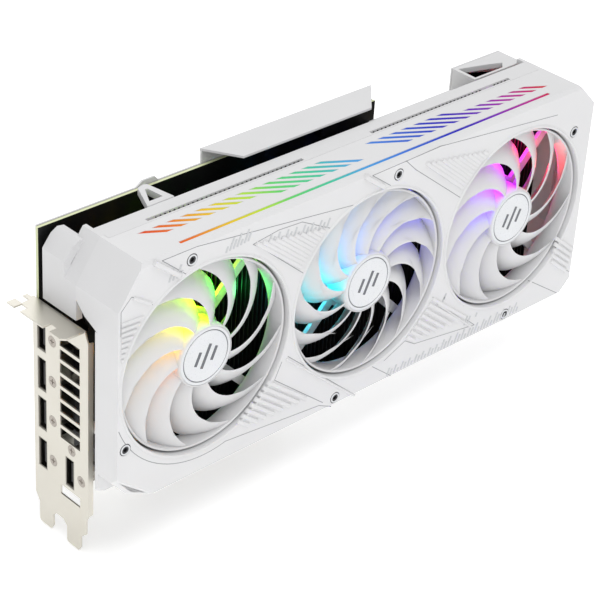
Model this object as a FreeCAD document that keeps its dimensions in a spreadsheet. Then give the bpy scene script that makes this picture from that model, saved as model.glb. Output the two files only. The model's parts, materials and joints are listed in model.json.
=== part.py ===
import FreeCAD, Part
import math
import os
import re

import Sketcher
from FreeCAD import Vector

# A triple-fan graphics card, upright on its edge connector. X runs along the card from the outer
# face of the slot bracket, the fans face -Y, and Z is up from the bottom of the edge connector.
# Y = 0 is the component side of the circuit board.

SIZES = {
    # whole card
    "card_length": 318.5,
    "fan_face": 54.7,            # the fan side stands this far in front of the board
    "back_face": 3.1,            # outer face of the backplate behind the board's component side
    "top": 143.0,                # top of the shroud and frame
    "bottom": 20.5,              # underside of the shroud
    "left_end": 1.1,
    "wall": 2.0,
    "clearance": 0.1,
    # slot bracket
    "plate": 0.86,
    "bracket_back": 2.85,        # the bracket's edge behind the board
    "bracket_width": 38.74,
    "bracket_tab": 104.95,       # underside datum of the tab
    "bracket_foot": 15.07,       # tongues reach this far below the connector
    "tab_depth": 11.43,
    "tongue_width": 10.19,
    "slot_pitch": 20.32,
    "tongue_place": 5.1,
    "flange_depth": 3.0,
    "vent_pitch": 6.92,
    "vent_tall": 5.1,
    "vent_wide": 14.0,
    "vent_place": 23.1,
    "vent_first": 91.7,
    "window_place": 12.1,
    "port_place": 3.1,
    "port_pitch": 21.05,
    "port_first": 88.4,
    "dp_wide": 16.9,
    "hdmi_wide": 15.6,
    "port_thick": 5.9,
    "port_deep": 15.0,
    "hdmi_low": 24.6,
    "hdmi_far": 22.7,
    # board
    "board": 1.57,
    "board_start": 1.3,
    "board_length": 262.0,
    "board_top": 139.6,
    "socket_shelf": 125.0,
    "shelf_near": 202.5,
    "cover_near": 259.0,
    "board_foot": 8.25,
    "key_place": 59.05,
    "key_gap": 1.9,
    "edge_short": 12.15,
    "edge_long": 72.15,
    # fans
    "fan_place": 51.0,
    "fan_pitch": 99.7,
    "fan_height": 82.2,
    "fan_opening": 48.0,
    "fan_radius": 47.0,
    "hub_radius": 15.6,
    "badge_radius": 14.4,
    "fan_depth": 11.6,
    "fan_inset": 1.0,
    "shaft_radius": 1.5,
    "bearing_play": 0.03,
    # frame
    "frame_front": 26.2,
    "frame_back": 14.3,
    "seam_front": 29.4,
    "comb_slot": 2.0,
    # heatsink
    "fin_pitch": 2.6,
    "fin_thick": 0.4,
    "fin_front": 37.5,
    "fin_back": 13.4,
    "fin_low": 25.5,
    "fin_high": 138.4,
    "pipe_radius": 3.0,
    # light bar
    "slash_pitch": 7.85,
    "slash_width": 4.2,
    "slash_back": 33.7,
    "slash_front": 44.2,
    "slash_run": 17.6,
    "line_place": 50.3,
    "line_width": 1.8,
    # fasteners
    "screw_head": 2.7,
    "port_head": 2.6,
    "screw_shank": 1.25,
    "post_radius": 2.2,
    # selector switch
    "switch_place": 168.0,
    "switch_travel": 2.0,
}

doc = FreeCAD.newDocument("graphics_card")
sheet = doc.addObject("Spreadsheet::Sheet", "Sizes")
for row, (alias, value) in enumerate(SIZES.items(), start=1):
    sheet.set("A%d" % row, alias)
    sheet.set("B%d" % row, str(value))
    sheet.setAlias("B%d" % row, alias)
doc.recompute()

ALIAS = re.compile(r"\b[a-z]+(?:_[a-z]+)*\b")
PIECES = []


def bound(text):
    """The expression that FreeCAD keeps, with each size name pointing at the sheet."""
    return ALIAS.sub(lambda word: "Sizes." + word.group() if word.group() in SIZES else word.group(),
                     str(text))


def mm(text):
    """The present value of an expression in sizes."""
    return float(sheet.evalExpression(bound(text)))


def origin_plane(body, role):
    return [feature for feature in body.Origin.OriginFeatures if feature.Role == role][0]


def hold(sketch, kind, element, point, text):
    """Fix one coordinate of a sketch point, or a radius, to an expression."""
    if kind == "Radius":
        index = sketch.addConstraint(Sketcher.Constraint(kind, element, mm(text)))
    else:
        index = sketch.addConstraint(Sketcher.Constraint(kind, -1, 1, element, point, mm(text)))
    sketch.setExpression("Constraints[%d]" % index, bound(text))


def add_polygon(sketch, corners):
    first = sketch.GeometryCount
    places = [Vector(mm(across), mm(up), 0) for across, up in corners]
    count = len(places)
    for index in range(count):
        sketch.addGeometry(Part.LineSegment(places[index], places[(index + 1) % count]))
    for index in range(count):
        following = first + (index + 1) % count
        sketch.addConstraint(Sketcher.Constraint("Coincident", first + index, 2, following, 1))
        hold(sketch, "DistanceX", first + index, 1, corners[index][0])
        hold(sketch, "DistanceY", first + index, 1, corners[index][1])


def add_circle(sketch, across, up, radius):
    centre = Vector(mm(across), mm(up), 0)
    element = sketch.addGeometry(Part.Circle(centre, Vector(0, 0, 1), mm(radius)))
    hold(sketch, "Radius", element, 3, radius)
    hold(sketch, "DistanceX", element, 3, across)
    hold(sketch, "DistanceY", element, 3, up)


def box(low_across, low_up, high_across, high_up):
    """A rectangle as a loop for a sketch."""
    return [(low_across, low_up), (high_across, low_up), (high_across, high_up), (low_across, high_up)]


class Piece:
    """One sub-part as a PartDesign body; every feature starts from an origin plane."""

    def __init__(self, label):
        self.body = doc.addObject("PartDesign::Body", label)
        self.body.Label = label
        self.count = 0
        PIECES.append(self.body)

    def sketch(self, plane, start, loops):
        self.count += 1
        sketch = self.body.newObject("Sketcher::SketchObject", "%s_sketch_%d" % (self.body.Name, self.count))
        sketch.AttachmentSupport = [(origin_plane(self.body, plane + "_Plane"), "")]
        sketch.MapMode = "FlatFace"
        sketch.setExpression(".AttachmentOffset.Base.z", bound(start))
        for loop in loops:
            if len(loop) == 3 and isinstance(loop[0], str):
                add_circle(sketch, *loop)
            else:
                add_polygon(sketch, loop)
        return sketch

    def feature(self, kind, plane, start, length, loops, backwards):
        sketch = self.sketch(plane, start, loops)
        feature = self.body.newObject("PartDesign::" + kind, "%s_%s_%d" % (self.body.Name, kind, self.count))
        feature.Profile = sketch
        feature.setExpression("Length", bound(length))
        feature.Reversed = backwards
        doc.recompute()
        return feature

    def pad(self, plane, start, length, *loops):
        """Add material from the start plane along the plane's normal."""
        return self.feature("Pad", plane, start, length, loops, False)

    def cut(self, plane, start, length, *loops):
        """Remove material from the start plane along the plane's normal, and prove it."""
        before = self.body.Shape.Volume
        feature = self.feature("Pocket", plane, start, length, loops, True)
        if self.body.Shape.Volume >= before:
            raise RuntimeError("a pocket of %s cuts nothing" % self.body.Label)
        return feature

    def repeat(self, features, step, count):
        """Repeat features along X, evenly."""
        pattern = self.body.newObject("PartDesign::LinearPattern", "%s_row_%d" % (self.body.Name, self.count))
        pattern.Originals = list(features)
        pattern.Direction = (features[0].Profile[0], ["H_Axis"])
        pattern.setExpression("Length", "(%s) * %d" % (bound(step), count - 1))
        pattern.Occurrences = count
        self.body.Tip = pattern
        doc.recompute()
        return pattern


def loose(label, shapes):
    """A sub-part of one or more solids made with Part's own functions."""
    item = doc.addObject("Part::Feature", label)
    item.Label = label
    item.Shape = shapes[0] if len(shapes) == 1 else Part.makeCompound(shapes)
    item.Placement = FreeCAD.Placement()
    PIECES.append(item)
    return item


def rod(x, y, z, radius, length, along=Vector(0, -1, 0)):
    return Part.makeCylinder(radius, length, Vector(x, y, z), along)


# ---------------------------------------------------------------- places shared by several pieces

FANS = (0, 1, 2)


def fan_x(index):
    return "fan_place + fan_pitch * %d" % index


# The six screws of the fan face, as along-and-up places.
FACE_SCREWS = [("40.5", "top - 7.6"), ("164", "top - 7.6"), ("290", "top - 25"),
               ("left_end + 4.4", "53"), ("133", "bottom + 4.9"), ("253", "bottom + 4.9")]

# The shroud and frame share one outline, with its four corners cut off.
OUTLINE = [("left_end", "bottom + 14"), ("left_end + 12", "bottom"), ("card_length - 24", "bottom"),
           ("card_length", "bottom + 23"), ("card_length", "top - 28"), ("card_length - 28", "top"),
           ("left_end + 13", "top"), ("left_end", "top - 19")]


def inner_outline(gap):
    """The outline moved inwards by a wall."""
    near = "(%s) * 0.5" % gap
    return [("left_end + %s" % gap, "bottom + 14 + %s" % near),
            ("left_end + 12 + %s" % near, "bottom + %s" % gap),
            ("card_length - 24 - %s" % near, "bottom + %s" % gap),
            ("card_length - %s" % gap, "bottom + 23 + %s" % near),
            ("card_length - %s" % gap, "top - 28 - %s" % near),
            ("card_length - 28 - %s" % near, "top - %s" % gap),
            ("left_end + 13 + %s" % near, "top - %s" % gap),
            ("left_end + %s" % gap, "top - 19 - %s" % near)]


# Rows of slashes in the light bar: first place along X, how many, and how deep each runs.
SLASH_ROWS = [("27.5", 7, "slash_back", "slash_front - 4"),
              ("27.5 + slash_pitch * 7", 7, "slash_back", "slash_front"),
              ("161.7", 7, "slash_back", "slash_front"),
              ("161.7 + slash_pitch * 7", 6, "slash_back + 4", "slash_front")]


def slash(first, back, front, slack):
    """One leaning bar: it moves along X by slash_run over the whole depth of the band."""
    lean = "slash_run / (slash_front - slash_back)"
    far = "%s + ((%s) + %s - slash_back) * %s" % (first, back, slack, lean)
    near = "%s + ((%s) - %s - slash_back) * %s" % (first, front, slack, lean)
    return [("%s + %s" % (far, slack), "-(%s) - %s" % (back, slack)),
            ("%s + slash_width - %s" % (far, slack), "-(%s) - %s" % (back, slack)),
            ("%s + slash_width - %s" % (near, slack), "-(%s) + %s" % (front, slack)),
            ("%s + %s" % (near, slack), "-(%s) + %s" % (front, slack))]


def light_line(slack):
    low = "-line_place - line_width / 2 + %s" % slack
    high = "-line_place + line_width / 2 - %s" % slack
    return box("37 + %s" % slack, low, "271.5 - %s" % slack, high)


# ---------------------------------------------------------------- slot bracket

def port_opening(across, up, wide, slack):
    half_thick = "(port_thick / 2 + %s)" % slack
    half_wide = "((%s) / 2 + %s)" % (wide, slack)
    return box("-(%s) - %s" % (across, half_thick), "(%s) - %s" % (up, half_wide),
               "-(%s) + %s" % (across, half_thick), "(%s) + %s" % (up, half_wide))


PORTS = [("displayport", "port_place", "port_first - port_pitch * %d" % index, "dp_wide")
         for index in range(3)]
PORTS += [("hdmi", "port_place", "hdmi_low", "hdmi_wide"),
          ("hdmi", "hdmi_far", "hdmi_low", "hdmi_wide")]

PORT_SCREWS = [("10.7", "port_first"), ("10.7", "port_first - port_pitch"),
               ("10.7", "port_first - port_pitch * 2"), ("10.7", "hdmi_low"),
               ("30.9", "hdmi_low"), ("24.1", "37.6")]


def build_bracket():
    piece = Piece("io_bracket")
    far = "(bracket_back - bracket_width)"
    second = "(tongue_place + slot_pitch)"
    half = "tongue_width / 2"
    foot = "-bracket_foot"
    piece.pad("YZ", "0", "plate", [
        ("bracket_back", "bracket_tab"), ("bracket_back", "0"), ("bracket_back - 2.9", "-4.5"),
        ("-tongue_place + %s" % half, "-6.5"), ("-tongue_place + %s" % half, foot + " + 1"),
        ("-tongue_place + %s - 1" % half, foot),
        ("-tongue_place - %s + 1.6" % half, foot), ("-tongue_place - %s" % half, foot + " + 2.6"),
        ("-tongue_place - %s" % half, "-6.5"), ("-tongue_place - %s - 2.6" % half, "-4"),
        ("-%s + %s + 2.6" % (second, half), "-4"),
        ("-%s + %s" % (second, half), "-6.5"), ("-%s + %s" % (second, half), foot + " + 1"),
        ("-%s + %s - 1" % (second, half), foot),
        ("-%s - %s + 1.6" % (second, half), foot), ("-%s - %s" % (second, half), foot + " + 2.6"),
        ("-%s - %s" % (second, half), "-6.5"), (far + " + 1.4", "-3"), (far + " + 1.4", "4.5"),
        (far, "7.5"), (far, "bracket_tab - 5.5"), (far + " + 2.5", "bracket_tab")])
    piece.pad("XY", "bracket_tab - plate", "plate", [
        ("plate", "3"), ("plate", far + " + 2.5"), ("-tab_depth + 2", far + " + 2.5"),
        ("-tab_depth", far + " + 4.5"), ("-tab_depth", "5.9"), ("-6.9", "5.9"), ("-6.9", "1.4"),
        ("-2.9", "1.4"), ("-2.9", "5.9"), ("-0.5", "5.9"), ("-0.5", "3")])
    piece.pad("XZ", "bracket_width - bracket_back - plate", "plate",
              box("0", "7.5", "flange_depth", "bracket_tab - 5.5"))
    vents = []
    for index in range(8):
        middle = "vent_first - vent_pitch * %d" % index
        vents.append(box("-vent_place - vent_wide / 2", middle + " - vent_tall / 2",
                         "-vent_place + vent_wide / 2", middle + " + vent_tall / 2"))
    vents.append(box("-vent_place - vent_wide / 2", "window_place - vent_tall / 2",
                     "-vent_place + vent_wide / 2", "window_place + vent_tall / 2"))
    piece.cut("YZ", "0", "plate", *vents)
    piece.cut("YZ", "0", "plate", *[port_opening(across, up, wide, "clearance")
                                    for _, across, up, wide in PORTS])
    piece.cut("YZ", "0", "plate", *[("-" + across, up, "screw_shank + clearance")
                                    for across, up in PORT_SCREWS])
    piece.cut("YZ", "0", "0.5", *[("-" + across, up, "port_head + clearance") for across, up in PORT_SCREWS])
    notch = "slot_pitch * %d + 1.5 + 2.2"
    piece.cut("XY", "bracket_tab - plate", "plate", *[
        box("-tab_depth - 1", "-(%s)" % (notch % index), "-tab_depth + 4",
            "-(%s) + 4.4" % (notch % index)) for index in range(2)])


def build_ports():
    """Each video socket is a metal shell, open at the front, round a plastic tongue."""
    counts = {"displayport": 0, "hdmi": 0}
    for kind, across, up, wide in PORTS:
        counts[kind] += 1
        shell = Piece("%s_shell_%d" % (kind, counts[kind]))
        shell.pad("YZ", "0.2", "port_deep", port_opening(across, up, wide, "0"))
        shell.cut("YZ", "0.2", "port_deep - 1", port_opening(across, up, wide, "-0.45"))
        if across == "hdmi_far":
            for side in ("-", "+"):
                edge = "hdmi_low %s (hdmi_wide / 2 - 0.5)" % side
                shell.pad("XY", edge + " - 0.5", "1", [
                    ("12", "-hdmi_far"), ("20", "-hdmi_far"), ("20", "0"), ("16", "0"),
                    ("16", "-hdmi_far + port_thick / 2"), ("12", "-hdmi_far + port_thick / 2")])
        tongue = Piece("%s_tongue_%d" % (kind, counts[kind]))
        place = "(%s) + 0.5" % across
        tongue.pad("YZ", "1.2", "port_deep - 2",
                   box("-(%s) - 0.7" % place, "(%s) - (%s) / 2 + 2.6" % (up, wide),
                       "-(%s) + 0.7" % place, "(%s) + (%s) / 2 - 2.6" % (up, wide)))


def build_port_screws():
    """Flat-headed screws, flush with the bracket, that hold it to what is behind it."""
    heads = []
    sink = 0.03
    for across, up in PORT_SCREWS:
        y = -mm(across)
        z = mm(up)
        head = rod(sink, y, z, mm("port_head"), 0.45, Vector(1, 0, 0))
        shank = rod(0.3, y, z, mm("screw_shank"), 6.2, Vector(1, 0, 0))
        slot_one = Part.makeBox(0.3, 0.5, 2.8, Vector(0, y - 0.25, z - 1.4))
        slot_two = Part.makeBox(0.3, 2.8, 0.5, Vector(0, y - 1.4, z - 0.25))
        heads.append(head.fuse(shank).cut(slot_one.fuse(slot_two)))
    loose("port_screws", heads)


# ---------------------------------------------------------------- shroud, frame and backplate

COMB_RANGES = [("38", "129"), ("172", "268")]


def build_shroud():
    piece = Piece("fan_shroud")
    depth = "fan_face - frame_front"
    piece.pad("XZ", "frame_front", depth, OUTLINE)
    hollow = inner_outline("wall")
    end = "card_length - 17.5"
    piece.cut("XZ", "frame_front", depth + " - wall", [
        hollow[0], hollow[1], (end, "bottom + wall"), (end, "top - wall"), hollow[6], hollow[7]])
    piece.cut("XZ", "frame_front", "15", [
        (end + " - 1", "bottom + wall"), hollow[2], hollow[3], hollow[4], hollow[5],
        (end + " - 1", "top - wall")])
    # The far end and the long edges slope back from the fan face.
    piece.cut("XY", "0", "top + 1", [("card_length - 15.5", "-fan_face - 0.01"),
                                     ("card_length + 0.01", "-fan_face - 0.01"),
                                     ("card_length + 0.01", "-fan_face + 11.5")])
    piece.cut("YZ", "0", "card_length + 1",
              [("-fan_face - 0.01", "bottom - 0.01"), ("-fan_face + 3", "bottom - 0.01"),
               ("-fan_face - 0.01", "bottom + 1.6")],
              [("-fan_face - 0.01", "top + 0.01"), ("-fan_face + 1.1", "top + 0.01"),
               ("-fan_face - 0.01", "top - 1.8")])
    # The near end stays clear of the bracket and of the frame's end.
    piece.cut("YZ", "0", "left_end + wall + 2.5", [
        ("-frame_front + 0.01", "bottom + 3"), ("-frame_front - 14.6", "bottom + 3"),
        ("-frame_front - 14.6", "top - 35.5"), ("-frame_front - 5.8", "top - 31.5"),
        ("-frame_front + 0.01", "top - 26")])
    piece.pad("XZ", "frame_front + 13.1", "2.0",
              box("left_end", "bottom + 3", "left_end + 13", "top - 35.5"))
    piece.cut("XZ", "frame_front + 13.1", "2.0", (FACE_SCREWS[3][0], FACE_SCREWS[3][1], "post_radius + 0.3"))
    piece.cut("XZ", "fan_face - wall", "wall", *[(fan_x(index), "fan_height", "fan_opening")
                                                 for index in FANS])
    for index in FANS:
        piece.pad("XZ", "fan_face - 13.2", "11.3", (fan_x(index), "fan_height", "fan_opening + 1.6"),
                  (fan_x(index), "fan_height", "fan_opening"))
    piece.cut("XZ", "fan_face - wall", "wall", *[(along, up, "screw_shank + clearance")
                                                 for along, up in FACE_SCREWS])
    piece.cut("XZ", "fan_face - 1.3", "1.3", *[(along, up, "screw_head + clearance * 3")
                                               for along, up in FACE_SCREWS])
    # The top stops short of the frame's strip, and holds the windows of the light bar.
    piece.cut("XY", "top - wall", "wall",
              box("left_end + 14.9", "-seam_front", "card_length - 30.9", "-frame_front + 0.01"))
    piece.cut("XY", "top - wall", "wall", light_line("0"))
    for first, count, back, front in SLASH_ROWS:
        piece.repeat([piece.cut("XY", "top - wall", "wall", slash(first, back, front, "0"))],
                     "slash_pitch", count)


def build_light_bar():
    """One clear moulding under the shroud's top: a bar with ribs that fill the windows."""
    piece = Piece("light_bar")
    gap = "clearance * 2.5"
    piece.pad("XY", "top - wall - clearance - 1.6", "1.6",
              box("22", "-fan_face + wall + 0.5", "284", "-slash_back + 1.5"))
    rise = "wall + clearance"
    start = "top - wall - clearance"
    piece.pad("XY", start, rise + " - 0.15", light_line(gap))
    for first, count, back, front in SLASH_ROWS:
        piece.repeat([piece.pad("XY", start, rise + " - 0.15", slash(first, back, front, gap))],
                     "slash_pitch", count)


def build_light_strip():
    piece = Piece("light_strip_board")
    piece.pad("XY", "top - wall - clearance - 3.2", "1.2", box("24", "-49", "282", "-36"))
    leds = piece.pad("XY", "top - wall - clearance - 2.0", "0.35", box("30", "-44", "34", "-40"))
    piece.repeat([leds], "10", 25)


def build_frame():
    """The rigid metal frame round the heatsink, with a post behind each face screw."""
    piece = Piece("mid_frame")
    front = "frame_front"
    piece.pad("XZ", "frame_back", "frame_front - frame_back", OUTLINE, inner_outline("3.4"))
    # Below the tab the near end is open for the bracket and its sockets.
    piece.cut("YZ", "0", "left_end + 16", box("-frame_front - 0.01", "bottom - 1",
                                              "-frame_back + 0.01", "bracket_tab + 1.4"))
    # Along the top a strip reaches forward to the shroud, with slots for the fins' teeth.
    piece.pad("XY", "top - 1.9", "1.9",
              box("left_end + 15", "-seam_front + 0.1", "card_length - 31", "-frame_front + 0.5"))
    piece.cut("XY", "top - 1.9", "1.9", *[box(low, "-frame_front - comb_slot", high, "-frame_front + 0.01")
                                          for low, high in COMB_RANGES])
    # The top's back edge is cut back and slopes.
    piece.cut("YZ", "16", "card_length - 46", [
        ("-frame_back - 3.1", "top - 3.5"), ("-frame_back + 0.01", "top - 3.5"),
        ("-frame_back + 0.01", "top + 0.01"), ("-frame_back - 4.8", "top + 0.01"),
        ("-frame_back - 3.1", "top - 1.5")])
    # The near end reaches back to the board over the bracket.
    piece.pad("XZ", "3.2", "frame_back + 1", [
        ("left_end", "bracket_tab + 1.4"), ("left_end", "top - 11.5"), ("left_end + 4.5", "top - 5.6"),
        ("left_end + 8", "top - 3.6"), ("left_end + 11.5", "top - 4.2"), ("left_end + 7.5", "top - 8"),
        ("left_end + 3.4", "top - 13.5"), ("left_end + 3.4", "bracket_tab + 1.4")])
    # A thin arm reaches forward past the sockets to the post at the near end.
    post_x, post_z = FACE_SCREWS[3]
    piece.pad("XZ", "frame_front - 0.5", "2.5", [
        (post_x + " - 2", "bottom + 16.5"), ("left_end + 14", "bottom + 2.7"),
        ("left_end + 21", "bottom + 2.7"), ("left_end + 21", "bottom + 6.5"),
        ("left_end + 16", "bottom + 6.5"), (post_x + " + 2", "bottom + 19"),
        (post_x + " + 2", post_z), (post_x + " - 2", post_z)])
    piece.pad("XZ", front, "fan_face - wall - frame_front", *[(along, up, "post_radius")
                                                              for along, up in FACE_SCREWS])
    webs = []
    for along, up in FACE_SCREWS[:2]:
        webs.append(box(along + " - 1.5", up, along + " + 1.5", "top - 2.5"))
    for along, up in FACE_SCREWS[4:]:
        webs.append(box(along + " - 1.5", "bottom + 2.5", along + " + 1.5", up))
    piece.pad("XZ", "frame_front - 3", "5", *webs)
    along, up = FACE_SCREWS[2]
    piece.pad("XZ", "frame_front - 3", "3", [
        (along + " - 2", up + " - 2"), ("card_length - 2.5", up + " - 6"),
        ("card_length - 2.5", up + " - 3"), ("card_length - 7", up + " + 2"), (along + " - 2", up + " + 2")])
    # An open lug reaches back to the board.
    piece.pad("XY", "top - 3.4", "3.4", [("46", "-frame_back - 4"), ("53", "-3"), ("57", "-2"),
                                         ("58.5", "-3"), ("61", "-frame_back - 4")],
              [("49.5", "-frame_back - 1"), ("54.6", "-6"), ("56", "-6"), ("57", "-frame_back - 1")])
    piece.cut("XZ", "fan_face - wall - 13", "13", *[(along, up, "screw_shank")
                                                      for along, up in FACE_SCREWS])


def build_backplate():
    piece = Piece("backplate")
    sheet_start = "-back_face"
    piece.pad("XZ", sheet_start, "1.0", [
        ("2.2", "12"), ("46", "12"), ("46", "16"), ("136", "16"), ("136", "12"), ("card_length - 26", "12"),
        ("card_length - 0.5", "37"), ("card_length - 0.5", "115"), ("card_length - 24.6", "board_top"),
        ("cover_near", "board_top"), ("cover_near", "socket_shelf"), ("shelf_near", "socket_shelf"),
        ("shelf_near", "board_top"), ("2.2", "board_top")])
    # A lip along the top folds forward over the gap in front of the board.
    piece.pad("XY", "board_top + 6.2", "1.2", [
        ("93.6", "back_face"), ("104.5", "-frame_back - 0.2"), ("185", "-frame_back - 0.2"),
        ("202", "back_face")])
    piece.pad("XZ", sheet_start, "1.0", box("94", "board_top - 1", "201.5", "board_top + 6.4"))
    piece.pad("XZ", sheet_start, "1.0", [("55", "board_top - 1"), ("70", "board_top - 1"),
                                         ("67", "board_top + 2.4"), ("60", "board_top + 2.4")])
    # A flow-through grille over the far fan.
    slots = piece.cut("XZ", sheet_start, "1.0", [("268", "40"), ("271.5", "40"), ("279.5", "124"),
                                                 ("276", "124")])
    piece.repeat([slots], "7", 4)
    # A window round the spring plate behind the chip.
    piece.cut("XZ", sheet_start, "1.0", box("108", "62", "160", "114"))


def build_end_cover():
    """The box over the far end of the heatsink, open at the top."""
    piece = Piece("end_cover")
    front = "-fin_back + 0.2"
    back = "back_face - 1.1"
    far = "card_length - 24.6"
    floor = "socket_shelf + 1.5"
    piece.pad("XY", "board_top - 3", "3", box("cover_near", front, far + " - 3", back))
    piece.cut("XY", "board_top - 3", "3", [
        ("cover_near + 2", front + " + 1.5"), ("cover_near + 2.2", "0.2"), ("273", "-3.5"), ("279", "-5.5"),
        ("285", "-8"), ("281", front + " + 1.5")])
    piece.pad("YZ", "cover_near", "1.5", box(front, floor, back, "board_top"))
    piece.pad("XZ", "-(%s)" % back, "1.2", [
        ("cover_near", floor), ("board_length + 1.2", floor), ("board_length + 1.2", "100"),
        (far + " - 2", "100"), (far + " - 2", "board_top"), ("cover_near", "board_top")])
    # The end wall follows the outline's slope down to the lower corner.
    piece.pad("XZ", "-(%s)" % back, "(%s) + fin_back - 0.2" % back, [
        (far + " - 5", "board_top"), (far, "board_top"), ("card_length", "top - 28"), ("card_length", "45"),
        ("card_length - 2", "45"), ("card_length - 2", "top - 28.8"), (far + " - 0.8", "board_top - 2.2"),
        (far + " - 5", "board_top - 2.2")])


def build_retainer():
    """The cross-shaped spring plate that pulls the heatsink onto the chip, with its four screws."""
    piece = Piece("chip_retainer")
    piece.pad("XZ", "-board - 1.1", "1.0", [
        ("112", "66"), ("118", "66"), ("130", "80"), ("138", "80"), ("150", "66"), ("156", "66"),
        ("156", "72"), ("142", "84"), ("142", "92"), ("156", "104"), ("156", "110"), ("150", "110"),
        ("138", "96"), ("130", "96"), ("118", "110"), ("112", "110"), ("112", "104"), ("126", "92"),
        ("126", "84"), ("112", "72")])
    piece.cut("XZ", "-board - 1.1", "1.0", *[(along, up, "1.6") for along in ("115.5", "152.5")
                                             for up in ("69.5", "106.5")])
    screws = []
    for x in (115.5, 152.5):
        for z in (69.5, 106.5):
            head = rod(x, mm("board") + 2.2, z, 2.6, 1.1)
            screws.append(head.fuse(rod(x, mm("board") + 1.2, z, 1.4, 6.8)))
    loose("retainer_screws", screws)


# ---------------------------------------------------------------- board and what is on it

RETAINER_HOLES = [(along, up, "1.6") for along in ("115.5", "152.5") for up in ("69.5", "106.5")]


def build_board():
    piece = Piece("circuit_board")
    key_low = "key_place - key_gap / 2"
    key_high = "key_place + key_gap / 2"
    short_end = "key_place - edge_short"
    long_end = "key_place + edge_long"
    piece.pad("XZ", "-board", "board", [
        ("board_start", "board_foot"), (short_end, "board_foot"), (short_end, "0.6"),
        (short_end + " + 0.6", "0"), (key_low, "0"), (key_low, "board_foot"), (key_high, "board_foot"),
        (key_high, "0"), (long_end + " - 0.6", "0"), (long_end, "0.6"), (long_end, "board_foot + 1"),
        (long_end + " + 3", "board_foot + 1"), (long_end + " + 3", "2.5"), (long_end + " + 8", "2.5"),
        (long_end + " + 8", "board_foot + 2"), ("board_length", "board_foot + 2"),
        ("board_length", "socket_shelf"), ("shelf_near", "socket_shelf"), ("shelf_near", "board_top"),
        ("board_start", "board_top")])
    piece.cut("XZ", "-board", "board", *RETAINER_HOLES)
    contacts = []
    places = [mm(short_end) + 0.85 + index for index in range(11)]
    places += [mm(key_high) + 0.85 + index for index in range(71)]
    for x in places:
        for y in (-0.06, mm("board")):
            contacts.append(Part.makeBox(0.7, 0.06, 5.6, Vector(x, y, 0.8)))
    loose("edge_contacts", contacts)


def build_chip():
    package = Piece("gpu_package")
    package.pad("XZ", "0", "2.1", box("114 + 4", "70", "154 - 4", "106"))
    die = Piece("gpu_die")
    die.pad("XZ", "2.1", "0.75", box("122", "76", "146", "100"))
    memory = []
    for x, z in ((98, 66), (98, 81), (98, 96), (108, 112.5), (126, 112.5), (144, 112.5), (158, 66),
                 (158, 81), (158, 96), (112, 50), (130, 50)):
        memory.append(Part.makeBox(14, 1.1, 12, Vector(x, -1.1, z)))
    loose("memory_chips", memory)


def build_power_parts():
    chokes = []
    drivers = []
    capacitors = []
    for column, x in enumerate((68, 182)):
        for row in range(8):
            z = 40 + row * 9.8
            choke = Part.makeBox(9.4, 4.2, 9.4, Vector(x, -4.2, z))
            chokes.append(choke.makeChamfer(0.8, choke.Edges[0:1]))
            step = 12.5 if column else -9.5
            drivers.append(Part.makeBox(6, 0.9, 5, Vector(x + step + (0 if column else 2), -0.9, z + 2)))
            capacitors.append(rod(x + (24 if column else -15.5), 0, z + 4.7, 3.1, 5.4))
    loose("power_chokes", chokes)
    loose("power_drivers", drivers)
    loose("capacitors", capacitors)


SOCKETS = (0, 1, 2)


def build_power_sockets():
    """Three eight-way sockets in a row, mouths up."""
    pins = []
    for index in SOCKETS:
        left = "199 + 19.4 * %d" % index
        socket = Piece("power_socket_%d" % (index + 1))
        socket.pad("XY", "board_top - 23", "13", box(left, "-10.4", left + " + 18.6", "-0.1"))
        socket.cut("XY", "board_top - 20", "10", box(left + " + 1", "-9.4", left + " + 17.6", "-1.1"))
        for column in range(4):
            for row in range(2):
                x = mm(left) + 3 + column * 4.2
                y = -3.15 - row * 4.2
                pins.append(Part.makeBox(1, 1, 7, Vector(x - 0.5, y - 0.5, mm("board_top") - 20)))
    loose("power_pins", pins)


def build_switch():
    """A small two-way selector at the board's top edge; its slider travels along X."""
    body = Piece("selector_body")
    left = "switch_place - 5"
    body.pad("XY", "board_top - 5.4", "4.6", box(left, "-4.6", "switch_place + 5", "-0.1"))
    body.cut("XY", "board_top - 2.6", "1.8",
             box("switch_place - 1.8 - 0.1", "-3.3", "switch_place + switch_travel + 1.8", "-1.5"))
    slider = Piece("selector_slider")
    slider.pad("XY", "board_top - 2.55", "3.9",
               box("switch_place - 1.6", "-3.25", "switch_place + 1.6", "-1.55"))


# ---------------------------------------------------------------- heatsink

def build_heatsink():
    plate = Piece("cold_plate")
    plate.pad("XZ", "2.85", "3.6", box("92", "56", "176", "118"))
    plate.cut("XZ", "2.85", "3.6", *[(along, up, "1.5") for along in ("115.5", "152.5")
                                     for up in ("69.5", "106.5")])
    pipes = []
    for index in range(6):
        z = 62 + index * 9.6
        low = 20 if index % 2 else 14
        high = mm("card_length") - (34 if index % 2 else 42)
        pipes.append(rod(low, -9.6, z, mm("pipe_radius"), high - low, Vector(1, 0, 0)))
    loose("heat_pipes", pipes)
    for label, first, last in (("fin_stack_near", "17.6", "148"), ("fin_stack_far", "154", "card_length - 33")):
        fins = []
        x = mm(first)
        while x < mm(last):
            fins.append(fin(x))
            x += mm("fin_pitch")
        loose(label, fins)


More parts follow.
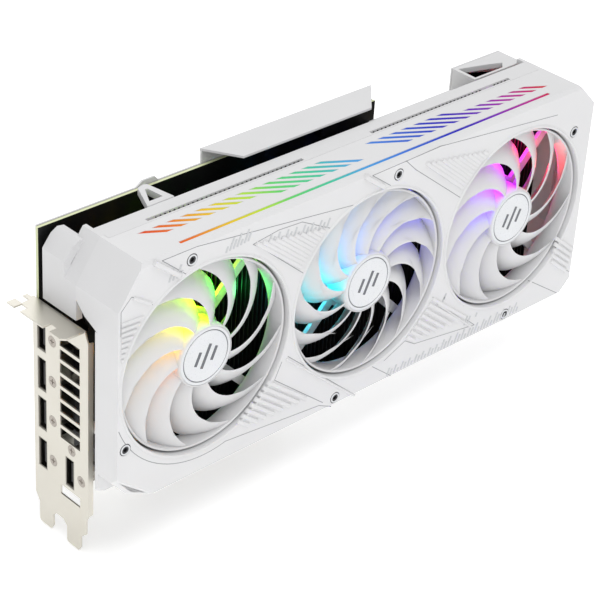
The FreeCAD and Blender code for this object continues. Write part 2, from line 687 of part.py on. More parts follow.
def fin(x):
    """One thin fin; where the shroud's top has its slot, the fin has a tooth that shows in it."""
    low, high = mm("fin_low"), mm("fin_high")
    front, back = -mm("fin_front"), -mm("fin_back")
    middle = x + mm("fin_thick") / 2
    if middle < mm("left_end") + 24:
        low += 8
        high -= 8
    room = mm("post_radius") + 0.6
    at_post = False
    for along, up in FACE_SCREWS:
        if abs(middle - mm(along)) < room:
            at_post = True
            if mm(up) > mm("fan_height"):
                high = min(high, mm(up) - room)
            else:
                low = max(low, mm(up) + room)
    tooth_back = -mm("frame_front") - 0.15
    tooth_front = tooth_back - mm("comb_slot") + 0.3
    corners = [(back, low), (front, low), (front, high - 6), (tooth_front, high - 6)]
    if not at_post and any(mm(start) + 0.5 < x < mm(end) - 1 for start, end in COMB_RANGES):
        corners += [(tooth_front, mm("top") - 0.6), (tooth_back, mm("top") - 0.6)]
    corners += [(tooth_back, high), (back, high)]
    wire = Part.makePolygon([Vector(x, y, z) for y, z in corners + corners[:1]])
    return Part.Face(wire).extrude(Vector(mm("fin_thick"), 0, 0))


# ---------------------------------------------------------------- fans

BLADES = (11, 13, 11)
TURN = (1, -1, 1)


def blade(radius_in, radius_out, front, depth, sweep, thickness):
    """One twisted blade about the Y axis: a loft of slanted sections from hub to ring."""
    sections = []
    steps = 5
    for step in range(steps + 1):
        share = step / steps
        radius = radius_in + (radius_out - radius_in) * share
        turn = sweep * (share ** 1.25)
        chord = math.radians(27 + 6 * share) * radius_in * 1.25 + 9 * share
        middle = Vector(radius * math.cos(turn), front + depth / 2, radius * math.sin(turn))
        along = Vector(-math.sin(turn), 0, math.cos(turn))
        if sweep < 0:
            along = -along
        pitch = math.radians(40 - 8 * share)
        chord_line = along * math.cos(pitch) - Vector(0, 1, 0) * math.sin(pitch)
        face_line = along * math.sin(pitch) + Vector(0, 1, 0) * math.cos(pitch)
        reach = min(chord / 2, depth / 2 / math.sin(pitch) - thickness / 2)
        corners = []
        for across, up in ((-1, -1), (1, -1), (1, 1), (-1, 1)):
            corners.append(middle + chord_line * (reach * across) + face_line * (thickness / 2 * up))
        sections.append(Part.makePolygon(corners + corners[:1]))
    return Part.makeLoft(sections, True, True)


def strut(index, across, rise):
    """A diagonal arm from the motor base to the back of the duct ring."""
    inner = "hub_radius * 0.7"
    outer = "(fan_opening + 1.3) * 0.7071"
    corners = []
    for reach, side in ((inner, -1.6), (outer, -1.6), (outer, 1.6), (inner, 1.6)):
        corners.append(("%s + (%s) * %d + %s" % (fan_x(index), reach, across, side * rise),
                        "fan_height + (%s) * %d + %s" % (reach, rise, -side * across)))
    return corners


def build_fan(index):
    number = index + 1
    place = Vector(mm(fan_x(index)), 0, mm("fan_height"))
    front = -mm("fan_face") + mm("fan_inset")
    depth = mm("fan_depth")
    hub = mm("hub_radius")
    outer = mm("fan_radius")
    centre = Vector(place.x, front, place.z)
    toward = Vector(0, 1, 0)

    def ring(outside, inside, start, length):
        base = centre + toward * start
        return Part.makeCylinder(outside, length, base, toward).cut(
            Part.makeCylinder(inside, length, base, toward))

    cup = Part.makeCylinder(hub, depth, centre, toward)
    cup = cup.cut(Part.makeCylinder(hub - 1.2, depth - 1.4, centre + toward * 1.4, toward))
    cup = cup.cut(Part.makeCylinder(mm("badge_radius") + 0.1, 0.6, centre, toward))
    cup = cup.cut(Part.makeCylinder(mm("shaft_radius"), depth, centre, toward))
    rim = ring(outer, outer - 1.3, 1.2, depth - 2.4)
    one = blade(hub - 0.6, outer - 0.7, 0.8, depth - 1.6, math.radians(46) * TURN[index], 1.3)
    one.translate(centre)
    solids = [cup, rim]
    count = BLADES[index]
    for turn in range(count):
        copy = one.copy()
        copy.rotate(centre, toward, 360.0 / count * turn)
        solids.append(copy)
    rotor = solids[0].multiFuse(solids[1:])
    loose("fan_rotor_%d" % number, [rotor])

    badge = Part.makeCylinder(mm("badge_radius"), 0.55, centre, toward)
    loose("fan_badge_%d" % number, [badge.makeChamfer(0.2, badge.Edges[0:1])])
    loose("fan_magnet_%d" % number, [ring(hub - 1.2, hub - 2.9, 3.0, depth - 3.4)])
    shaft_length = depth + 0.4
    loose("fan_shaft_%d" % number, [Part.makeCylinder(mm("shaft_radius"), shaft_length,
                                                      centre + toward * 0.6, toward)])

    # The fixed side: a spider of struts, a motor coil and the bearing that the shaft turns in.
    spider = Piece("fan_mount_%d" % number)
    middle = (fan_x(index), "fan_height")
    base = "fan_face - fan_inset - fan_depth - 2.6"
    spider.pad("XZ", base, "2.0", (*middle, "hub_radius + 2"))
    for across, rise in ((1, 1), (-1, 1), (-1, -1), (1, -1)):
        spider.pad("XZ", base, "2.0", strut(index, across, rise))
    spider.pad("XZ", "fan_face - fan_inset - fan_depth - 0.6", "fan_depth - 3.0",
               (*middle, "shaft_radius + 2.6"))
    spider.cut("XZ", base, "fan_depth", (*middle, "shaft_radius + 1.2"))
    loose("fan_bearing_%d" % number, [ring(mm("shaft_radius") + 1.2, mm("shaft_radius") + mm("bearing_play"),
                                           3.6, depth - 3.0)])
    coil = ring(hub - 4.2, mm("shaft_radius") + 2.65, 3.4, depth - 4.4)
    for arm in range(9):
        gap = Part.makeBox(2.2, depth, 5, Vector(-1.1, front, 6.4))
        gap.translate(Vector(place.x, 0, place.z))
        gap.rotate(centre, toward, 40 * arm)
        coil = coil.cut(gap)
    loose("fan_coil_%d" % number, [coil])


# ---------------------------------------------------------------- fasteners

def build_face_screws():
    screws = []
    for along, up in FACE_SCREWS:
        x, z = mm(along), mm(up)
        head = rod(x, -mm("fan_face") + 1.3, z, mm("screw_head"), 1.2)
        drive = Part.makeCylinder(1.0, 0.8, Vector(x, -mm("fan_face") + 0.1, z), Vector(0, 1, 0))
        shank = Part.makeCylinder(mm("screw_shank"), 10.5, Vector(x, -mm("fan_face") + 1.2, z),
                                  Vector(0, 1, 0))
        screws.append(head.cut(drive).fuse(shank))
    loose("shroud_screws", screws)


def check_and_export():
    doc.recompute()
    for item in doc.Objects:
        if {"Invalid", "Error"} & set(item.State):
            raise RuntimeError("%s failed: %s" % (item.Label, item.State))
    os.makedirs("parts", exist_ok=True)
    for item in PIECES:
        shape = item.Shape
        if shape.isNull() or not shape.isValid() or not shape.Solids:
            raise RuntimeError("%s has no valid solid" % item.Label)
    for item in PIECES:
        item.Shape.exportStep("parts/%s.step" % item.Label)
    print(len(PIECES), "sub-parts written")


build_bracket()
build_ports()
build_port_screws()
build_shroud()
build_light_bar()
build_light_strip()
build_frame()
build_backplate()
build_end_cover()
build_retainer()
build_board()
build_chip()
build_power_parts()
build_power_sockets()
build_switch()
build_heatsink()
for fan in FANS:
    build_fan(fan)
build_face_screws()
check_and_export()
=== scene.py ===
import json
import math

import bmesh
import bpy
from mathutils import Matrix, Vector


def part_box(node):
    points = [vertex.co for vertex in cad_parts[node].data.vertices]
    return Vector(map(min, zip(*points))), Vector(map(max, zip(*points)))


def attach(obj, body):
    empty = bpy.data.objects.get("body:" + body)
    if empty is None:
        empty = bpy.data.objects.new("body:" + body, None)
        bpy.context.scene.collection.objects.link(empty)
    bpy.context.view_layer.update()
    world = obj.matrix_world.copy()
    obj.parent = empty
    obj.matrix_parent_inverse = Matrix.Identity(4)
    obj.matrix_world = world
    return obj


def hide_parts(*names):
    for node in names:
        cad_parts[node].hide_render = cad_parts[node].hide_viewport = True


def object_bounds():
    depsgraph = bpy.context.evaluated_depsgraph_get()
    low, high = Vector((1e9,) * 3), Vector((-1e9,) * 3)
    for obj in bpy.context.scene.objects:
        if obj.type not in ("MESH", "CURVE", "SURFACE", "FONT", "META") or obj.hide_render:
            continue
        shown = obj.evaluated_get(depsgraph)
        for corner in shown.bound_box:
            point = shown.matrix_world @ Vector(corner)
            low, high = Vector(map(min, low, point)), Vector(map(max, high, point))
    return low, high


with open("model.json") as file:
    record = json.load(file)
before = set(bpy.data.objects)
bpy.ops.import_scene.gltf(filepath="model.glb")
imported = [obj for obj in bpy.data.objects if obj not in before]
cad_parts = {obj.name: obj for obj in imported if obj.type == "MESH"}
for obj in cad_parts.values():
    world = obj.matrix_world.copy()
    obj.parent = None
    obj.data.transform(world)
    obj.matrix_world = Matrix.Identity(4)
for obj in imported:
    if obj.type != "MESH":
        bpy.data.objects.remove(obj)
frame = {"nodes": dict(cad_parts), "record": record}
cad_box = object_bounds()
nodes = frame["nodes"]
MM = 0.001
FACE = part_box("fan_shroud")[0].y
FANS = [Vector(joint["pos_m"]) for joint in frame["record"]["behaviour"]["joints"] if "fan" in joint["name"]]


# ---------------------------------------------------------------- camera and studio light

def colour(text):
    """An sRGB hex colour as linear RGBA."""
    parts = [int(text[i:i + 2], 16) / 255 for i in (0, 2, 4)]
    linear = [c / 12.92 if c <= 0.04045 else ((c + 0.055) / 1.055) ** 2.4 for c in parts]
    return (*linear, 1.0)


def look(azimuth, elevation, roll):
    """A camera rotation that looks down at an azimuth and elevation, then rolls."""
    a, e = math.radians(azimuth), math.radians(elevation)
    back = Vector((math.sin(a) * math.cos(e), -math.cos(a) * math.cos(e), math.sin(e)))
    return (-back).to_track_quat("-Z", "Y") @ Matrix.Rotation(math.radians(roll), 3, "Z").to_quaternion()


camera_data = bpy.data.cameras.new("camera")
camera_data.lens = 122.46
camera_data.sensor_width = 36
camera_data.clip_end = 20
camera = bpy.data.objects.new("camera", camera_data)
camera.rotation_mode = "QUATERNION"
camera.location = (-0.4451, -0.6069, 0.5739)
camera.rotation_quaternion = look(-44.92, 31.79, 3.64)
bpy.context.scene.collection.objects.link(camera)
bpy.context.scene.camera = camera
bpy.context.scene.view_settings.view_transform = "Standard"


def area_light(name, place, target, size, power):
    data = bpy.data.lights.new(name, "AREA")
    data.shape = "RECTANGLE"
    data.size, data.size_y = size
    data.energy = power
    lamp = bpy.data.objects.new(name, data)
    lamp.location = place
    lamp.rotation_euler = (Vector(target) - Vector(place)).to_track_quat("-Z", "Y").to_euler()
    bpy.context.scene.collection.objects.link(lamp)


DIODE = 0.004    # metres: the soft size of one lamp behind the blades
BEHIND_BLADES = -0.0405


def glow_light(name, place, power, tint):
    """A small coloured lamp behind the blades, as the light board's diodes give."""
    data = bpy.data.lights.new(name, "POINT")
    data.energy = power
    data.color = colour(tint)[:3]
    data.shadow_soft_size = DIODE
    lamp = bpy.data.objects.new(name, data)
    lamp.location = place
    bpy.context.scene.collection.objects.link(lamp)


middle = (0.15, -0.03, 0.07)
area_light("key", (0.1, -0.5, 1.4), middle, (1.0, 0.7), 7.0)
area_light("front_fill", (-0.9, -1.1, 0.45), middle, (1.0, 1.0), 3.0)
area_light("back_light", (0.4, 1.1, 1.0), middle, (1.2, 0.6), 4.0)
world = bpy.data.worlds.new("studio")
world.use_nodes = True
world.node_tree.nodes["Background"].inputs["Color"].default_value = colour("FBFBFB")
world.node_tree.nodes["Background"].inputs["Strength"].default_value = 0.66
bpy.context.scene.world = world


# ---------------------------------------------------------------- materials

def add(tree, kind, settings=None, links=None):
    """Add a node, set its properties and inputs, and link other sockets into it."""
    node = tree.nodes.new(kind)
    for name, value in (settings or {}).items():
        if name in node.inputs:
            node.inputs[name].default_value = value
        else:
            setattr(node, name, value)
    for name, socket in (links or {}).items():
        tree.links.new(socket, node.inputs[name])
    return node


def finish(name, base, roughness, metallic=0.0, **sockets):
    """A material with its shader; returns the material, its tree and the shader."""
    material = bpy.data.materials.new(name)
    material.use_nodes = True
    tree = material.node_tree
    shader = tree.nodes["Principled BSDF"]
    shader.inputs["Base Color"].default_value = colour(base)
    shader.inputs["Roughness"].default_value = roughness
    shader.inputs["Metallic"].default_value = metallic
    for socket, value in sockets.items():
        shader.inputs[socket.replace("_", " ")].default_value = value
    return material, tree, shader


def grain(tree, shader, size, strength, depth=0.00002, stretch=(1, 1, 1), rough=None, tint=None):
    """Fine relief and patchiness: noise with a grain size in metres, on Object coordinates."""
    place = add(tree, "ShaderNodeTexCoord")
    turned = add(tree, "ShaderNodeMapping", {"Scale": stretch}, {"Vector": place.outputs["Object"]})
    noise = add(tree, "ShaderNodeTexNoise", {"Scale": 1 / size, "Detail": 3.0}, {"Vector": turned.outputs[0]})
    bump = add(tree, "ShaderNodeBump", {"Strength": strength, "Distance": depth},
               {"Height": noise.outputs["Fac"]})
    tree.links.new(bump.outputs[0], shader.inputs["Normal"])
    if rough:
        low, high = rough
        spread = add(tree, "ShaderNodeMapRange", {"To Min": low, "To Max": high}, {"Value": noise.outputs["Fac"]})
        tree.links.new(spread.outputs[0], shader.inputs["Roughness"])
    if tint:
        broad = add(tree, "ShaderNodeTexNoise", {"Scale": 45.0, "Detail": 2.0},
                    {"Vector": place.outputs["Object"]})
        ramp = add(tree, "ShaderNodeValToRGB", links={"Fac": broad.outputs["Fac"]})
        ramp.color_ramp.elements[0].color = colour(tint[0])
        ramp.color_ramp.elements[1].color = colour(tint[1])
        tree.links.new(ramp.outputs[0], shader.inputs["Base Color"])


def moulded_white():
    """ABS from a lightly etched mould: a soft broad gloss over a 0.5 mm orange-peel grain."""
    material, tree, shader = finish("moulded_abs_white", "D9D9DA", 0.42)
    grain(tree, shader, 0.0005, 0.3, rough=(0.36, 0.5), tint=("D6D6D7", "DCDCDD"))
    return material


def blade_white():
    """Fan blades of PBT: a slightly greyer, glossier white than the shroud."""
    material, tree, shader = finish("milky_pbt_white", "D4D4D5", 0.38)
    grain(tree, shader, 0.0006, 0.25, rough=(0.33, 0.46), tint=("D1D1D2", "D8D8D9"))
    return material


def coated_white():
    """Powder coat on die-cast aluminium: matter than the plastic, with a fine pebble."""
    material, tree, shader = finish("powder_coated_aluminium_white", "D6D6D7", 0.5)
    grain(tree, shader, 0.0006, 0.4, rough=(0.46, 0.6), tint=("D3D3D4", "D9D9DA"))
    return material


def brushed_steel():
    """Nickel on rolled steel: faint vertical drawing lines that stretch the highlights."""
    material, tree, shader = finish("brushed_nickel_steel", "D3D0C6", 0.38, metallic=0.85)
    grain(tree, shader, 0.0004, 0.35, stretch=(1, 1, 0.06), rough=(0.34, 0.48), tint=("CFCBC0", "D8D5CC"))
    return material


def board_laminate():
    """Black solder mask on both faces; the cut edge shows the pale green-yellow glass fibre."""
    material, tree, shader = finish("solder_mask_on_glass_fibre", "0B0C0C", 0.4)
    grain(tree, shader, 0.0015, 0.3, rough=(0.35, 0.5))
    facing = add(tree, "ShaderNodeNewGeometry")
    parts = add(tree, "ShaderNodeSeparateXYZ", links={"Vector": facing.outputs["True Normal"]})
    size = add(tree, "ShaderNodeMath", {"operation": "ABSOLUTE"}, {0: parts.outputs["Y"]})
    ramp = add(tree, "ShaderNodeValToRGB", links={"Fac": size.outputs[0]})
    ramp.color_ramp.interpolation = "CONSTANT"
    ramp.color_ramp.elements[0].color = colour("D3D9AE")
    ramp.color_ramp.elements[1].position = 0.5
    ramp.color_ramp.elements[1].color = colour("0B0C0C")
    tree.links.new(ramp.outputs[0], shader.inputs["Base Color"])
    return material


RAINBOW = (("DC3C0A", 0.027), ("E4741A", 0.045), ("E6C41E", 0.066), ("B4DE3A", 0.085), ("62D264", 0.100),
           ("3CC49C", 0.125), ("46A0DE", 0.145), ("3A76D8", 0.170), ("2028BA", 0.200), ("3518B4", 0.215),
           ("741AB4", 0.232), ("AE1E98", 0.252), ("CC142C", 0.275))


def lit_diffuser():
    """Frosted polycarbonate lit along its length: the colour runs through the spectrum along X."""
    material, tree, shader = finish("lit_frosted_polycarbonate", "08080A", 0.55, Specular_IOR_Level=0.15)
    place = add(tree, "ShaderNodeTexCoord")
    parts = add(tree, "ShaderNodeSeparateXYZ", links={"Vector": place.outputs["Object"]})
    low, high = RAINBOW[0][1], RAINBOW[-1][1]
    share = add(tree, "ShaderNodeMapRange", {"From Min": low, "From Max": high}, {"Value": parts.outputs["X"]})
    ramp = add(tree, "ShaderNodeValToRGB", links={"Fac": share.outputs[0]})
    steps = ramp.color_ramp.elements
    while len(steps) < len(RAINBOW):
        steps.new(1.0)
    for step, (tint, along) in zip(steps, RAINBOW):
        step.position = (along - low) / (high - low)
        step.color = colour(tint)
    speckle = add(tree, "ShaderNodeTexNoise", {"Scale": 1500.0}, {"Vector": place.outputs["Object"]})
    glow = add(tree, "ShaderNodeMapRange", {"To Min": 0.85, "To Max": 1.15}, {"Value": speckle.outputs["Fac"]})
    tree.links.new(ramp.outputs[0], shader.inputs["Emission Color"])
    tree.links.new(glow.outputs[0], shader.inputs["Emission Strength"])
    return material


def plain(name, base, roughness, metallic=0.0, size=0.0005, strength=0.3, tint=None, **sockets):
    material, tree, shader = finish(name, base, roughness, metallic, **sockets)
    grain(tree, shader, size, strength, rough=(max(roughness - 0.06, 0.02), min(roughness + 0.08, 1)), tint=tint)
    return material


FINISHES = {
    # soft gloss with a fine moulded grain
    "white_plastic": moulded_white(),
    # a matter, pebbled white
    "white_metal": coated_white(),
    # a pearly disc, brighter than the hub
    "badge_silver": plain("pearl_painted_abs", "DCDEE1", 0.28, tint=("D8DADD", "E1E3E5")),
    # warm metal with stretched highlights
    "bracket_metal": brushed_steel(),
    # near-black heads with a dull glint
    "screw_steel": plain("black_oxide_steel", "4A4A4C", 0.35, 1.0),
    # nickel darkened with painted shade, for the shade inside the ports
    "socket_shell": plain("nickel_plated_shell", "8E8C84", 0.3, 1.0),
    # flat black that hides its edges
    "black_plastic": plain("black_nylon", "101011", 0.5),
    # dark fins that catch the coloured light
    "fin_aluminium": plain("black_coated_aluminium_fin", "2B2927", 0.42, 0.6),
    # bright pipes and plate deep inside
    "nickel_copper": plain("nickel_plated_copper", "B5B2AD", 0.28, 1.0),
    # black faces with a pale cut edge
    "board_laminate": board_laminate(),
    # yellow contacts on the connector
    "gold": plain("gold_plate", "D9B45A", 0.25, 1.0),
    # the run of colours along the top
    "light_diffuser": lit_diffuser(),
    # a dark green square
    "chip_package": plain("chip_substrate", "123A24", 0.4),
    # a mirror-like die
    "silicon": plain("polished_silicon", "4A4C55", 0.12, 0.4),
    # a dark sprung cross at the back
    "spring_steel": plain("blackened_spring_steel", "2B2B2D", 0.4, 1.0),
    # dull grey blocks
    "choke_grey": plain("pressed_ferrite", "3B3C3E", 0.6),
    # small bright cans
    "capacitor_can": plain("satin_aluminium_can", "BFC0C2", 0.32, 1.0),
    # matt dark rings
    "motor_magnet": plain("bonded_magnet", "2D2B2A", 0.6),
    # orange windings
    "copper_wire": plain("enamelled_copper", "B5652E", 0.35, 0.8),
    # brown bearing sleeves
    "bronze": plain("sintered_bronze", "8E6A3C", 0.5, 0.9),
    # a grey switch knob
    "slider_grey": plain("grey_nylon", "7D7E80", 0.5),
}
BLADES = blade_white()
GROOVE = plain("shadow_gap_grey", "8B8D90", 0.6)
PRINT = plain("pad_printed_grey", "C2C4C6", 0.45, tint=("BEC0C2", "C6C8CA"))
MARK = plain("etched_badge_steel", "6E7074", 0.35, 0.9)
NICKEL = plain("zinc_plated_screw", "A9A29A", 0.34, 0.9)
slot_of = {row["node"]: row["material_slot"] for row in frame["record"]["subparts"]}
for name, node in nodes.items():
    for index in range(len(node.material_slots)):
        node.material_slots[index].material = FINISHES[slot_of[name]]
nodes["port_screws"].material_slots[0].material = NICKEL


# ---------------------------------------------------------------- making pieces

def make(name, shaper, material, body="card", replaced=(), smooth=35):
    """A finished piece at the origin: shaper fills a bmesh, then it rides on a body."""
    shape = bmesh.new()
    shaper(shape)
    mesh = bpy.data.meshes.new(name)
    shape.to_mesh(mesh)
    shape.free()
    mesh.shade_smooth()
    mesh.set_sharp_from_angle(angle=math.radians(smooth))
    item = bpy.data.objects.new(name, mesh)
    item.data.materials.append(material)
    bpy.context.scene.collection.objects.link(item)
    if body:
        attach(item, body)
    if replaced:
        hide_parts(*replaced)
    return item


def bar(shape, start, end, width, low, high, chamfer=0.0):
    """A straight bar on the fan face between two places (x, z), from low to high above the face, in mm."""
    a, b = Vector((start[0], 0, start[1])) * MM, Vector((end[0], 0, end[1])) * MM
    run = b - a
    made = bmesh.ops.create_cube(shape, size=1.0)
    verts = made["verts"]
    size = Matrix.Diagonal((run.length, (high - low) * MM, width * MM, 1))
    turn = Matrix.Rotation(-math.atan2(run.z, run.x), 4, "Y")
    centre = (a + b) / 2
    place = Matrix.Translation((centre.x, FACE - (low + high) / 2 * MM, centre.z))
    bmesh.ops.transform(shape, matrix=place @ turn @ size, verts=verts)
    if chamfer:
        front = min(vert.co.y for vert in verts)
        edges = {edge for vert in verts for edge in vert.link_edges
                 if all(end.co.y < front + 1e-7 for end in edge.verts)}
        bmesh.ops.bevel(shape, geom=list(edges), offset=chamfer * MM, offset_type="OFFSET", segments=2,
                        profile=0.5, affect="EDGES", material=-1)


def arc(centre, radius, start, end, steps):
    return [(centre[0] + radius * math.cos(math.radians(start + (end - start) * step / steps)),
             centre[1] + radius * math.sin(math.radians(start + (end - start) * step / steps)))
            for step in range(steps + 1)]


def revolve(shape, profile, centre, steps=72):
    """Spin a profile of (radius, y) in mm about a fan's axis."""
    verts = [shape.verts.new((centre.x + radius * MM, y * MM, centre.z)) for radius, y in profile]
    edges = [shape.edges.new(pair) for pair in zip(verts, verts[1:])]
    bmesh.ops.spin(shape, geom=verts + edges, cent=centre, axis=(0, 1, 0), dvec=(0, 0, 0),
                   angle=math.tau, steps=steps, use_merge=True, use_duplicate=False)
    bmesh.ops.remove_doubles(shape, verts=shape.verts, dist=1e-6)
    bmesh.ops.recalc_face_normals(shape, faces=shape.faces)


def eased_copy(name, node, width, trim=None):
    """A merged copy of a CAD node with its edges eased, in place of the node."""
    def shaper(shape):
        shape.from_mesh(nodes[node].data)
        bmesh.ops.remove_doubles(shape, verts=shape.verts, dist=2e-6)
        bmesh.ops.dissolve_limit(shape, angle_limit=math.radians(1), verts=shape.verts, edges=shape.edges)
        if trim:
            trim(shape)
    item = make(name, shaper, nodes[node].material_slots[0].material, replaced=(node,))
    ease = item.modifiers.new("ease", "BEVEL")
    ease.width = width * MM
    ease.segments = 2
    ease.limit_method = "ANGLE"
    ease.angle_limit = math.radians(40)
    return item


def trim_corner(shape):
    """The near lower corner of the shroud's face slopes back, closed with one facet."""
    a, b, c = (Vector(p) * MM for p in ((1.1, -51.0, 35.3), (22.0, -54.7, 22.0), (14.6, -46.5, 20.5)))
    normal = (b - a).cross(c - a).normalized()
    if normal.y > 0:
        normal.negate()
    cut = bmesh.ops.bisect_plane(shape, geom=shape.verts[:] + shape.edges[:] + shape.faces[:], dist=1e-6,
                                 plane_co=a, plane_no=normal, clear_outer=True)
    open_edges = [e for e in cut["geom_cut"] if isinstance(e, bmesh.types.BMEdge) and e.is_boundary]
    bmesh.ops.holes_fill(shape, edges=open_edges, sides=0)


eased_copy("shroud_shell", "fan_shroud", 0.35, trim_corner)
eased_copy("frame_casting", "mid_frame", 0.4)
eased_copy("end_housing", "end_cover", 0.3)
eased_copy("rear_plate", "backplate", 0.2)
eased_copy("slot_plate", "io_bracket", 0.12)


# ---------------------------------------------------------------- fans

COUNTS = (11, 13, 11)    # blades on each fan
TURNS = (1, -1, 1)       # the middle fan curls the other way


def rotor(number, centre):
    count, turn = COUNTS[number], TURNS[number]

    def shaper(shape):
        made = bmesh.ops.create_grid(shape, x_segments=16, y_segments=8, size=0.5)
        for vert in made["verts"]:
            out, across = vert.co.x + 0.5, vert.co.y * 2
            radius = 14.8 + 31.3 * out
            half = (4.6 + 6.6 * out ** 0.9) * 11 / count
            angle = turn * (0.86 * out ** 1.3 + across * half / radius)
            fall = (4.7 - 0.5 * out) * across + 1.3 * (1 - across * across)
            vert.co = Vector((centre.x + radius * math.cos(angle) * MM, (-48.2 - fall) * MM,
                              centre.z + radius * math.sin(angle) * MM))
        bmesh.ops.solidify(shape, geom=shape.faces[:], thickness=1.1 * MM)
        bmesh.ops.recalc_face_normals(shape, faces=shape.faces)
        rim = [edge for edge in shape.edges if len(edge.link_faces) == 2 and edge.calc_face_angle() > 1.0]
        bmesh.ops.bevel(shape, geom=rim, offset=0.35 * MM, offset_type="OFFSET", segments=2, profile=0.5,
                        affect="EDGES", material=-1)
        bmesh.ops.spin(shape, geom=shape.verts[:] + shape.edges[:] + shape.faces[:], cent=centre,
                       axis=(0, 1, 0), dvec=(0, 0, 0), angle=math.tau * (count - 1) / count, steps=count - 1,
                       use_duplicate=True)
    make("rotor_blades_%d" % (number + 1), shaper, BLADES, "fan_%d" % (number + 1),
                  smooth=50)

    def hub(shape):
        revolve(shape, [(13.9, -43.0), (13.9, -52.4), (0.0, -52.4)], centre)
        revolve(shape, [(15.5, -42.4), (15.6, -52.0), (15.4, -53.0), (14.9, -53.6), (14.5, -53.7),
                        (14.45, -52.9)], centre)
        revolve(shape, [(45.9, -43.4), (47.0, -43.4), (47.0, -52.6), (46.7, -53.0), (46.2, -53.0),
                        (45.9, -52.6), (45.9, -43.4)], centre, 128)
    make("rotor_hub_%d" % (number + 1), hub, BLADES, "fan_%d" % (number + 1),
         ("fan_rotor_%d" % (number + 1),))

    def badge(shape):
        revolve(shape, [(0.0, -53.74), (12.3, -53.74), (12.5, -53.45), (12.9, -53.45), (13.1, -53.74),
                        (14.1, -53.74), (14.38, -53.5), (14.38, -53.1)], centre)
    make("hub_badge_%d" % (number + 1), badge, FINISHES["badge_silver"], "fan_%d" % (number + 1),
         ("fan_badge_%d" % (number + 1),))

    def groove(shape):
        revolve(shape, [(12.45, -53.47), (12.95, -53.47)], centre)
    make("badge_groove_%d" % (number + 1), groove, MARK, "fan_%d" % (number + 1))

    def mark(shape):
        x, z = centre.x / MM, centre.z / MM
        for shift, half in ((-4.6, 3.2), (0.0, 5.6), (4.6, 3.2)):
            bar(shape, (x + shift - half * 0.45, z - half), (x + shift + half * 0.45, z + half), 1.7, -0.96, -0.9)
    make("badge_mark_%d" % (number + 1), mark, MARK, "fan_%d" % (number + 1))

for number, centre in enumerate(FANS):
    rotor(number, centre)

# Lamps round each motor, behind the blades: the colours follow the spectrum along the card.
GLOWS = ((0, 165, 24, "FF8A00", 0.012), (0, 140, 25, "FFB400", 0.020), (0, 112, 27, "FFE600", 0.022),
         (0, 84, 30, "B4FF00", 0.022), (0, 50, 34, "28D228", 0.014), (0, 22, 38, "28D25A", 0.010),
         (1, 178, 34, "00E6F0", 0.020), (1, 150, 32, "28AAFF", 0.022), (1, 120, 32, "3C8CFF", 0.018),
         (1, 75, 34, "3C50FF", 0.014), (1, 35, 38, "6450FF", 0.010),
         (2, 152, 27, "5028FF", 0.026), (2, 120, 28, "8C14FF", 0.030), (2, 88, 31, "C814F0", 0.020),
         (2, 50, 36, "DC1446", 0.014), (2, 20, 39, "E61E32", 0.010))
for index, (fan, angle, radius, tint, power) in enumerate(GLOWS):
    centre = FANS[fan]
    place = (centre.x + radius * MM * math.cos(math.radians(angle)), BEHIND_BLADES,
             centre.z + radius * MM * math.sin(math.radians(angle)))
    glow_light("diode_%02d" % index, place, power, tint)


# ---------------------------------------------------------------- relief on the fan face

FAN_PLACES = [(centre.x / MM, centre.z / MM) for centre in FANS]
SEAMS = [
    [(24, 141), (43, 141), (137, 129)], [(24, 141), (38, 129)],
    [(75, 130.5), (80, 127), (107.5, 103.5)], [(75, 130.5), (90, 132.4), (104, 131.5), (122, 122)],
    [(146.5, 140.6), (191, 141.4), (275, 132)], [(146.5, 140.6), (159, 131.4)],
    [(168, 141.2), (175, 134.4), (209, 108)],
    arc(FAN_PLACES[0], 52.4, 200, 284, 22) + [(122.5, 25.4), (131, 21.2)],
    [(96.5, 61), (92.5, 52.5), (125, 26)], [(100, 62.5), (147, 20.8)],
    [(165, 33), (179, 39), (186, 34.5), (230, 28), (196, 57.5)], [(156, 34), (171, 22)],
    [(269, 39.5), (294, 22.5)], [(286, 45.5), (302, 32.5)], [(2.5, 112), (2.5, 124), (8, 129.5), (19.4, 121.4)],
]


def seams(shape):
    for line in SEAMS:
        for start, end in zip(line, line[1:]):
            bar(shape, start, end, 0.34, -0.3, 0.03)


make("face_seams", seams, GROOVE)

def over_opening(*places):
    """Whether any of these places (x, z) in mm lies over a fan opening or its lip."""
    return any(math.hypot(x - fan_x, z - fan_z) < 50.2 for x, z in places for fan_x, fan_z in FAN_PLACES)


# Fields of parallel ribs: where the first and last begin, the line they end on, how many, and their slope.
RIBS = (((77, 130.4), (115, 123.9), (105.5, 108.9), (119, 122.4), 11, -0.8),
        ((182, 135.4), (222, 128.6), (207.5, 111.4), (228, 128.4), 12, -0.8),
        ((70.5, 39.5), (88, 53.4), (78, 34.2), (109, 33.6), 8, -0.78),
        ((180, 41), (196, 56.5), (186, 36.6), (220, 35.6), 8, -0.8),
        ((285.5, 45), (286.5, 58.5), (298, 32), (303.5, 50), 5, -0.8),
        ((2.6, 100), (2.6, 118), (4, 98), (15, 118.5), 8, -0.05))


def ribs(shape):
    for first, last, foot, head, count, slope in RIBS:
        climb = (head[1] - foot[1]) / (head[0] - foot[0])
        for index in range(count):
            x, z = [a + (b - a) * index / (count - 1) for a, b in zip(first, last)]
            end = (foot[1] - climb * foot[0] - z + slope * x) / (slope - climb)
            while over_opening((end, z + slope * (end - x))) and end > x + 1:
                end -= 0.5
            bar(shape, (x, z), (end, z + slope * (end - x)), 1.5 if x < 10 else 2.1, -0.3, 0.9, 0.5)


make("face_ribs", ribs, FINISHES["white_plastic"])


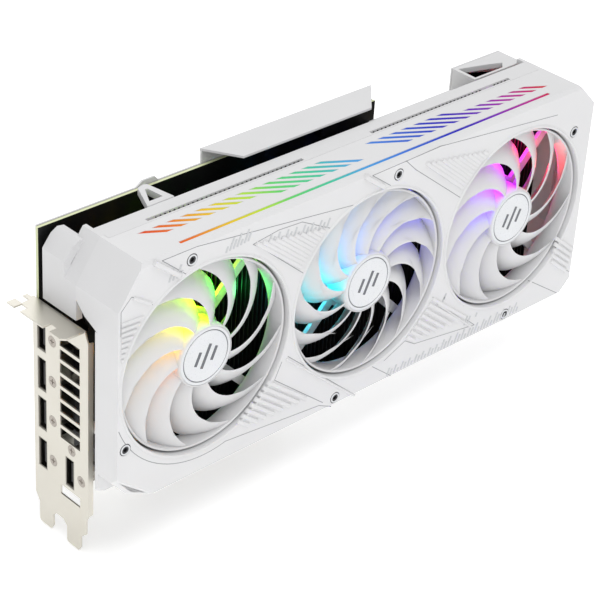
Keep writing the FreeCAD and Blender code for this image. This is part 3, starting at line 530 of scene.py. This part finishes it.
def wedges(shape):
    """Raised edges of the two upper plates."""
    for start, end in (((19.5, 141.8), (33.6, 130.4)), ((141.5, 141.8), (154.5, 132.2))):
        bar(shape, start, end, 2.4, -0.3, 1.6, 0.9)
    bar(shape, (9.0, 128.6), (18.6, 122.2), 1.6, -0.3, 1.0, 0.6)
    bar(shape, (99.0, 61.5), (146, 21.0), 1.2, -0.3, 0.7, 0.5)
    bar(shape, (200, 52), (228, 27.4), 1.2, -0.3, 0.7, 0.5)


make("face_wedges", wedges, FINISHES["white_plastic"])


def lips(shape):
    """A rounded lip round each opening."""
    for centre in FANS:
        face = FACE / MM
        revolve(shape, [(48.1, face + 1.2), (48.1, face - 0.35), (48.35, face - 0.6), (48.9, face - 0.6),
                        (49.3, face - 0.3), (49.6, face + 0.2)], centre, 128)


make("opening_lips", lips, FINISHES["white_plastic"])


def printed_pattern(shape):
    """Generic leaning strokes in pale grey between the fans, tall and short by turns."""
    fields = (((28, 129), (72, 133.2), 6.0, 22), ((84, 127.2), (132, 121.5), 4.6, 20),
              ((108, 101), (122, 116), 4.6, 7), ((203, 50), (211, 64), 4.4, 6),
              ((206, 22.5), (262, 23.5), 5.6, 24),
              ((222, 31), (252, 37.5), 4.8, 12), ((168, 23), (204, 23), 4.2, 16))
    for start, end, tall, count in fields:
        for index in range(count):
            share = index / (count - 1)
            x = start[0] + (end[0] - start[0]) * share
            z = start[1] + (end[1] - start[1]) * share
            rise = tall * (1.0, 0.7, 1.0, 0.45)[index % 4]
            if not over_opening((x, z), (x + rise * 0.4, z + rise)):
                bar(shape, (x, z), (x + rise * 0.4, z + rise), 1.0, -0.2, 0.14)


make("face_print", printed_pattern, PRINT)


FACE_SCREWS = ((40.5, 135.4), (164, 135.4), (290, 118), (5.5, 53), (133, 25.4), (253, 25.4))


def screw_rings(shape):
    """Bright rims in the recesses round the face screws."""
    for x, z in FACE_SCREWS:
        centre = Vector((x * MM, 0, z * MM))
        face = FACE / MM
        revolve(shape, [(1.9, face + 0.35), (1.9, face - 0.25), (2.2, face - 0.35), (2.5, face - 0.25),
                        (2.6, face + 0.35)], centre, 28)


make("screw_rims", screw_rings, FINISHES["badge_silver"])


def port_rims(shape):
    """The bright rolled mouths of the five port shells, just inside the bracket."""
    for name in [name for name in nodes if "_shell_" in name]:
        low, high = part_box(name)
        for across in (low.y + 0.35 * MM, high.y - 0.35 * MM):
            made = bmesh.ops.create_cube(shape, size=1.0)["verts"]
            size = Matrix.Diagonal((0.5 * MM, 0.6 * MM, high.z - low.z - 0.2 * MM, 1))
            bmesh.ops.transform(shape, matrix=Matrix.Translation((0.65 * MM, across, (low.z + high.z) / 2)) @ size,
                                verts=made)
        for up in (low.z + 0.35 * MM, high.z - 0.35 * MM):
            made = bmesh.ops.create_cube(shape, size=1.0)["verts"]
            size = Matrix.Diagonal((0.5 * MM, high.y - low.y - 0.2 * MM, 0.6 * MM, 1))
            bmesh.ops.transform(shape, matrix=Matrix.Translation((0.65 * MM, (low.y + high.y) / 2, up)) @ size,
                                verts=made)


make("port_rims", port_rims, NICKEL)


# ---------------------------------------------------------------- floor and end

def floor_shape(shape):
    bmesh.ops.create_grid(shape, x_segments=2, y_segments=2, size=4.0,
                          matrix=Matrix.Translation((0.15, 0, cad_box[0].z - 0.0005)))


floor = make("floor", floor_shape, finish("pale_paper", "FFFFFF", 0.9, Emission_Strength=0.3)[0], body=None)
